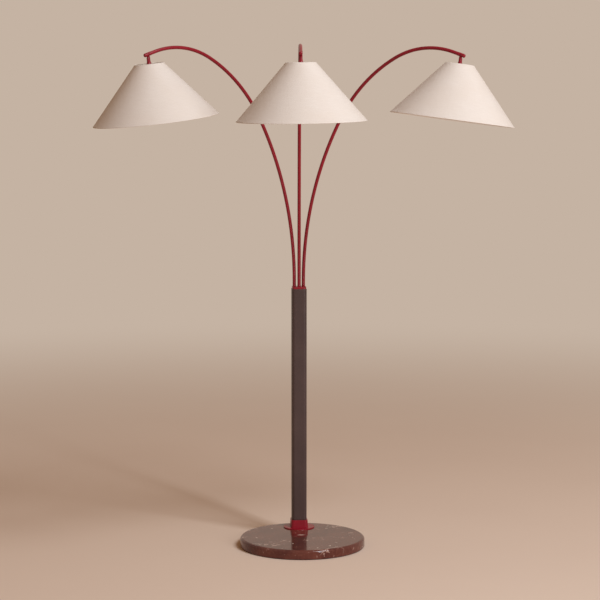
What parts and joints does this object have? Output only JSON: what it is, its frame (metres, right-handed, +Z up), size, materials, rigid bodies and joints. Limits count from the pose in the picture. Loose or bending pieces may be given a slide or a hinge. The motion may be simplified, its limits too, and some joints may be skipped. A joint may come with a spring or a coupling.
{
  "type": "tree floor lamp",
  "caption": "Floor lamp with arched swivelling tube arms and tilting cone shades on a leather-wrapped square stem, held by a polished marble disc.",
  "frame": {"origin": "on the floor under the middle of the round base", "axes": "+Z up; the arms reach forward to -Y; the stem stands 148 mm behind the origin on +Y; +X is the lamp's own left, which is the right-hand side of the picture"},
  "size_m": [1.4149, 0.9042, 1.7505],
  "materials": {
    "felt": "pressed felt, matt",
    "marble": "polished dark red-brown marble, pale veins",
    "zinc_steel": "zinc plated",
    "red_lacquer": "gloss oxblood red lacquer",
    "red_screw": "gloss oxblood red lacquer over a slotted screw",
    "leather": "smooth dark brown hide, semi-matt",
    "white_plastic": "moulded",
    "black_plastic": "moulded thermoset, satin",
    "nylon": "natural nylon",
    "flex": "smooth flexible sheath",
    "white_wire": "white coated steel wire",
    "linen": "cream linen weave on stiff backing",
    "lamp_cap": "bare",
    "lamp_glass": "opal white glass"
  },
  "bodies": {
    "stand": {"base_felt": "felt", "marble_base": "marble", "base_washer": "zinc_steel", "base_bolt": "zinc_steel", "base_collar": "red_lacquer", "collar_screw": "zinc_steel", "stem_tube": "red_lacquer", "leather_sleeve": "leather", "stem_foot": "zinc_steel", "terminal_block": "white_plastic", "cable_gland": "black_plastic", "top_cap": "red_lacquer", "cap_screws": "zinc_steel", "swivel_screws": "zinc_steel", "thrust_washer_left": "nylon", "thrust_washer_centre": "nylon", "thrust_washer_right": "nylon"},
    "arm_left": {"arm_tube_left": "red_lacquer", "arm_lead_left": "flex", "knuckle_left": "red_lacquer", "pivot_screw_left": "red_screw", "tilt_washers_left": "nylon"},
    "head_left": {"neck_left": "red_lacquer", "lampholder_left": "black_plastic", "shade_ring_left": "black_plastic", "shade_fitter_left": "white_wire", "shade_foot_ring_left": "white_wire", "shade_left": "linen", "bulb_cap_left": "lamp_cap", "bulb_left": "lamp_glass"},
    "arm_centre": {"arm_tube_centre": "red_lacquer", "arm_lead_centre": "flex", "knuckle_centre": "red_lacquer", "pivot_screw_centre": "red_screw", "tilt_washers_centre": "nylon"},
    "head_centre": {"neck_centre": "red_lacquer", "lampholder_centre": "black_plastic", "shade_ring_centre": "black_plastic", "shade_fitter_centre": "white_wire", "shade_foot_ring_centre": "white_wire", "shade_centre": "linen", "bulb_cap_centre": "lamp_cap", "bulb_centre": "lamp_glass"},
    "arm_right": {"arm_tube_right": "red_lacquer", "arm_lead_right": "flex", "knuckle_right": "red_lacquer", "pivot_screw_right": "red_screw", "tilt_washers_right": "nylon"},
    "head_right": {"neck_right": "red_lacquer", "lampholder_right": "black_plastic", "shade_ring_right": "black_plastic", "shade_fitter_right": "white_wire", "shade_foot_ring_right": "white_wire", "shade_right": "linen", "bulb_cap_right": "lamp_cap", "bulb_right": "lamp_glass"}
  },
  "joints": [
    {"name": "swivel_left", "type": "hinge", "parent": "stand", "child": "arm_left", "pos_m": [-0.0163, 0.1539, 0.908], "axis": [0, 0, 1], "range_deg": [-60, 3]},
    {"name": "swivel_centre", "type": "hinge", "parent": "stand", "child": "arm_centre", "pos_m": [0, 0.1421, 0.908], "axis": [0, 0, 1], "range_deg": [-3, 6]},
    {"name": "swivel_right", "type": "hinge", "parent": "stand", "child": "arm_right", "pos_m": [0.0163, 0.1539, 0.908], "axis": [0, 0, 1], "range_deg": [-5, 60]},
    {"name": "tilt_left", "type": "hinge", "parent": "arm_left", "child": "head_left", "pos_m": [-0.5315, -0.19492, 1.71948], "axis": [0.5564, -0.8308, 0.0149], "range_deg": [-22, 10]},
    {"name": "tilt_centre", "type": "hinge", "parent": "arm_centre", "child": "head_centre", "pos_m": [-0.04557, -0.47841, 1.71948], "axis": [0.9968, -0.0783, 0.0149], "range_deg": [-20, 10]},
    {"name": "tilt_right", "type": "hinge", "parent": "arm_right", "child": "head_right", "pos_m": [0.51644, -0.21618, 1.71948], "axis": [0.5737, 0.816, -0.071], "range_deg": [-22, 10]}
  ]
}
